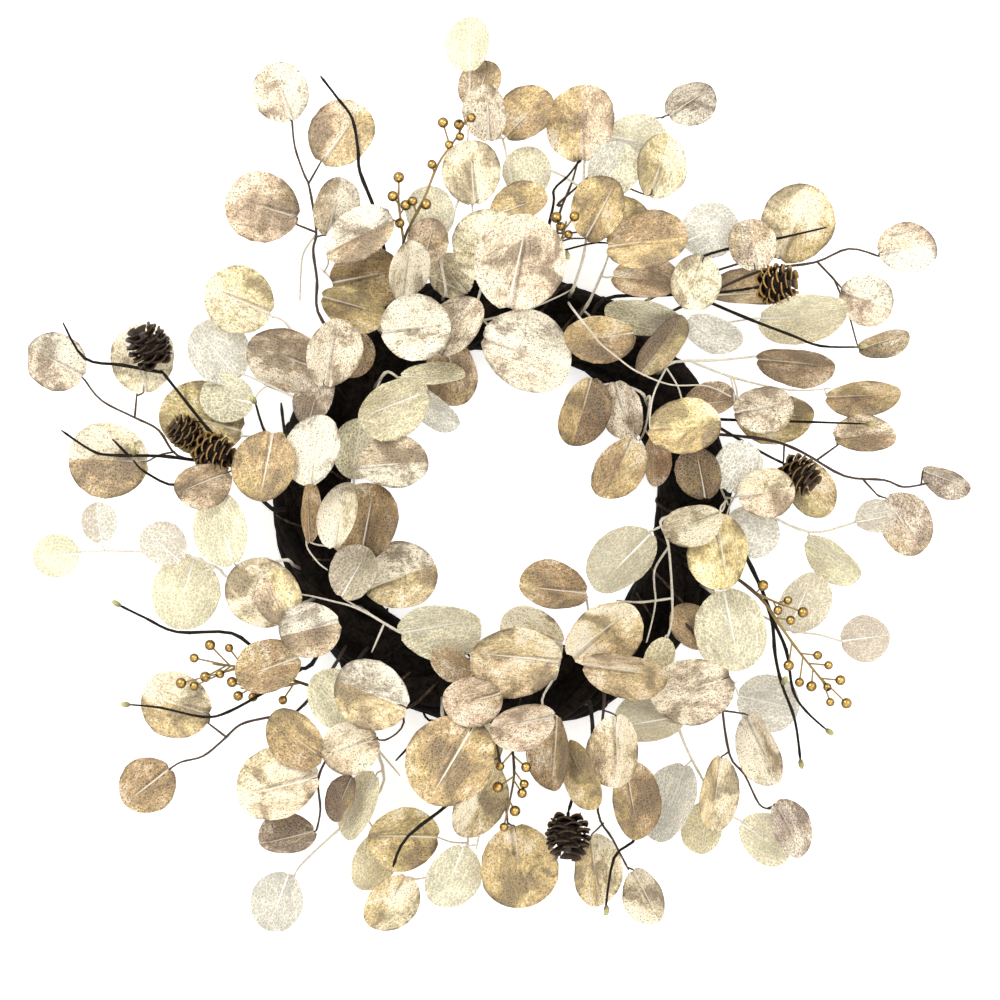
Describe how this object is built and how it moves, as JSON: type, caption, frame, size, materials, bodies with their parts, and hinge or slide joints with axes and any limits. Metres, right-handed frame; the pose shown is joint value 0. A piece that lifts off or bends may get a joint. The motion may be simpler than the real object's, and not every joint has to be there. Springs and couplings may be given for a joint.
{
  "type": "eucalyptus wreath",
  "caption": "Round vine ring set with sprays of gold and pale eucalyptus leaves, bare dark twigs, gold berries and alder cones, open in the middle.",
  "frame": {"origin": "under the middle of the whole wreath's box, on the plane that the vine ring's back lies on", "axes": "+Z out of the wreath's face, +Y up the pictured wreath, +X to its right as seen from the face"},
  "size_m": [0.609, 0.5909, 0.1143],
  "materials": {
    "vine": "near-black dry bark",
    "gold_leaf": "champagne gold with glitter, dark specks and pale patches",
    "pale_leaf": "thin pale skeleton leaf on a cream stem",
    "dark_twig": "near-black bark",
    "cone": "dark brown scales with golden edges",
    "gold_berry": "metallic gold"
  },
  "bodies": {
    "root": {"vine_ring": "vine", "gold_spray_01": "gold_leaf", "gold_spray_02": "gold_leaf", "gold_spray_03": "gold_leaf", "gold_spray_04": "gold_leaf", "gold_spray_05": "gold_leaf", "gold_spray_06": "gold_leaf", "gold_spray_07": "gold_leaf", "gold_spray_08": "gold_leaf", "gold_spray_09": "gold_leaf", "gold_spray_10": "gold_leaf", "gold_spray_11": "gold_leaf", "gold_spray_12": "gold_leaf", "gold_spray_13": "gold_leaf", "gold_spray_14": "gold_leaf", "gold_spray_15": "gold_leaf", "gold_spray_16": "gold_leaf", "gold_spray_17": "gold_leaf", "gold_spray_18": "gold_leaf", "gold_spray_19": "gold_leaf", "gold_spray_20": "gold_leaf", "gold_spray_21": "gold_leaf", "gold_spray_22": "gold_leaf", "gold_spray_23": "gold_leaf", "gold_spray_24": "gold_leaf", "gold_spray_25": "gold_leaf", "pale_spray_01": "pale_leaf", "pale_spray_02": "pale_leaf", "pale_spray_03": "pale_leaf", "pale_spray_04": "pale_leaf", "pale_spray_05": "pale_leaf", "pale_spray_06": "pale_leaf", "pale_spray_07": "pale_leaf", "pale_spray_08": "pale_leaf", "pale_spray_09": "pale_leaf", "pale_spray_10": "pale_leaf", "pale_spray_11": "pale_leaf", "pale_spray_12": "pale_leaf", "pale_spray_13": "pale_leaf", "dark_twig_01": "dark_twig", "dark_twig_02": "dark_twig", "dark_twig_03": "dark_twig", "dark_twig_04": "dark_twig", "dark_twig_05": "dark_twig", "dark_twig_06": "dark_twig", "dark_twig_07": "dark_twig", "cone_twig_01": "cone", "cone_twig_02": "cone", "cone_twig_03": "cone", "cone_twig_04": "cone", "berry_spray_01": "gold_berry", "berry_spray_02": "gold_berry", "berry_spray_03": "gold_berry", "berry_spray_04": "gold_berry", "berry_spray_05": "gold_berry"}
  },
  "joints": []
}
